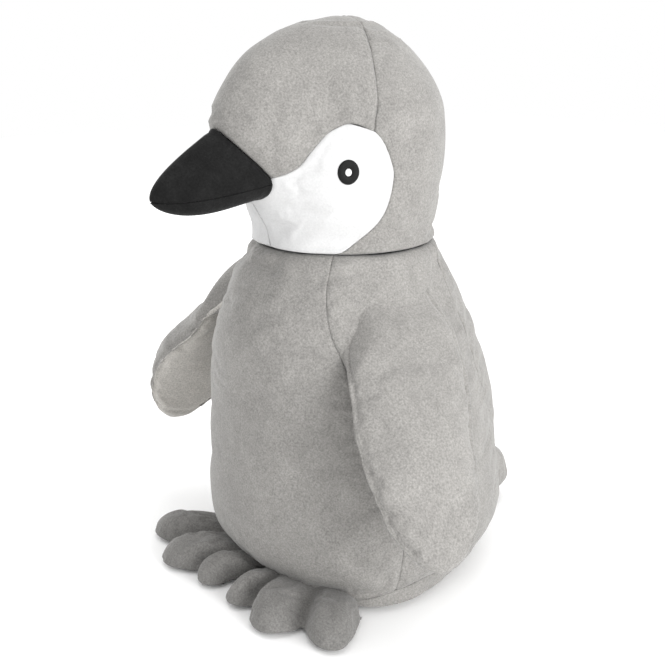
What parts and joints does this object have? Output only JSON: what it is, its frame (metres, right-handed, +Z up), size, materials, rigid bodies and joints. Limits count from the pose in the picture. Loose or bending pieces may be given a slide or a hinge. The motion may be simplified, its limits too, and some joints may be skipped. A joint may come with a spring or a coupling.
{
  "type": "plush penguin",
  "caption": "Standing plush penguin sewn from velour panels over fibrefill, with a head that turns and nods and wings, feet and tail that bend at their seams.",
  "frame": {"origin": "point on the ground under the neck's turning axis, inside the flat base panel", "axes": "+Z up along the neck's turning axis, -Y the way the beak points, +X the penguin's own left"},
  "size_m": [0.3377, 0.3099, 0.38],
  "materials": {
    "velour_grey": "short-pile grey velour, soft sheen, mottled nap",
    "velour_grey_dark": "short-pile darker grey velour",
    "velour_white": "smooth white velour",
    "velboa_black": "near-black short velboa pile",
    "thread_black": "satin-stitched black embroidery thread",
    "thread_white": "satin-stitched white embroidery thread",
    "fibrefill": "loose white polyester fibrefill, hidden inside"
  },
  "bodies": {
    "torso": {"belly_panel": "velour_grey", "side_panel_left": "velour_grey", "side_panel_right": "velour_grey", "back_panel_left": "velour_grey", "back_panel_right": "velour_grey", "base_panel": "velour_grey", "body_filling": "fibrefill"},
    "neck": {"neck_filling": "fibrefill"},
    "head": {"crown_panel": "velour_grey", "head_back_left": "velour_grey", "head_back_right": "velour_grey", "cheek_left": "velour_white", "cheek_right": "velour_white", "head_filling": "fibrefill", "beak_upper": "velboa_black", "beak_lower": "velboa_black", "beak_filling": "fibrefill", "eye_left": "thread_black", "eye_right": "thread_black", "eye_highlight_left": "thread_white", "eye_highlight_right": "thread_white"},
    "left_wing": {"wing_outer_left": "velour_grey", "wing_inner_left": "velour_grey", "wing_filling_left": "fibrefill"},
    "right_wing": {"wing_outer_right": "velour_grey", "wing_inner_right": "velour_grey", "wing_filling_right": "fibrefill"},
    "left_foot": {"foot_upper_left": "velour_grey_dark", "foot_sole_left": "velour_grey_dark", "foot_filling_left": "fibrefill"},
    "right_foot": {"foot_upper_right": "velour_grey_dark", "foot_sole_right": "velour_grey_dark", "foot_filling_right": "fibrefill"},
    "tail": {"tail_upper": "velour_grey", "tail_lower": "velour_grey", "tail_filling": "fibrefill"}
  },
  "joints": [
    {"name": "neck_turn", "type": "hinge", "parent": "torso", "child": "neck", "pos_m": [0, 0, 0.205], "axis": [0, 0, 1], "range_deg": [-30, 30], "stiffness_Nm_per_rad": 1.5},
    {"name": "neck_nod", "type": "hinge", "parent": "neck", "child": "head", "pos_m": [0, 0, 0.205], "axis": [1, 0, 0], "range_deg": [-10, 10], "stiffness_Nm_per_rad": 4},
    {"name": "left_wing_lift", "type": "hinge", "parent": "torso", "child": "left_wing", "pos_m": [0.092, -0.0283, 0.173], "axis": [-0.2419, -0.9703, 0], "range_deg": [-14, 50], "stiffness_Nm_per_rad": 0.3},
    {"name": "right_wing_lift", "type": "hinge", "parent": "torso", "child": "right_wing", "pos_m": [-0.092, -0.0283, 0.173], "axis": [-0.2419, 0.9703, 0], "range_deg": [-10, 54], "stiffness_Nm_per_rad": 0.3},
    {"name": "left_foot_bend", "type": "hinge", "parent": "torso", "child": "left_foot", "pos_m": [0.0432, -0.0685, 0.021], "axis": [-0.8462, -0.5329, 0], "range_deg": [0, 20], "stiffness_Nm_per_rad": 0.15},
    {"name": "right_foot_bend", "type": "hinge", "parent": "torso", "child": "right_foot", "pos_m": [-0.0365, -0.0723, 0.021], "axis": [-0.8926, 0.4509, 0], "range_deg": [0, 20], "stiffness_Nm_per_rad": 0.15},
    {"name": "tail_bend", "type": "hinge", "parent": "torso", "child": "tail", "pos_m": [0, 0.1125, 0.047], "axis": [1, 0, 0], "range_deg": [0, 25], "stiffness_Nm_per_rad": 0.15}
  ]
}
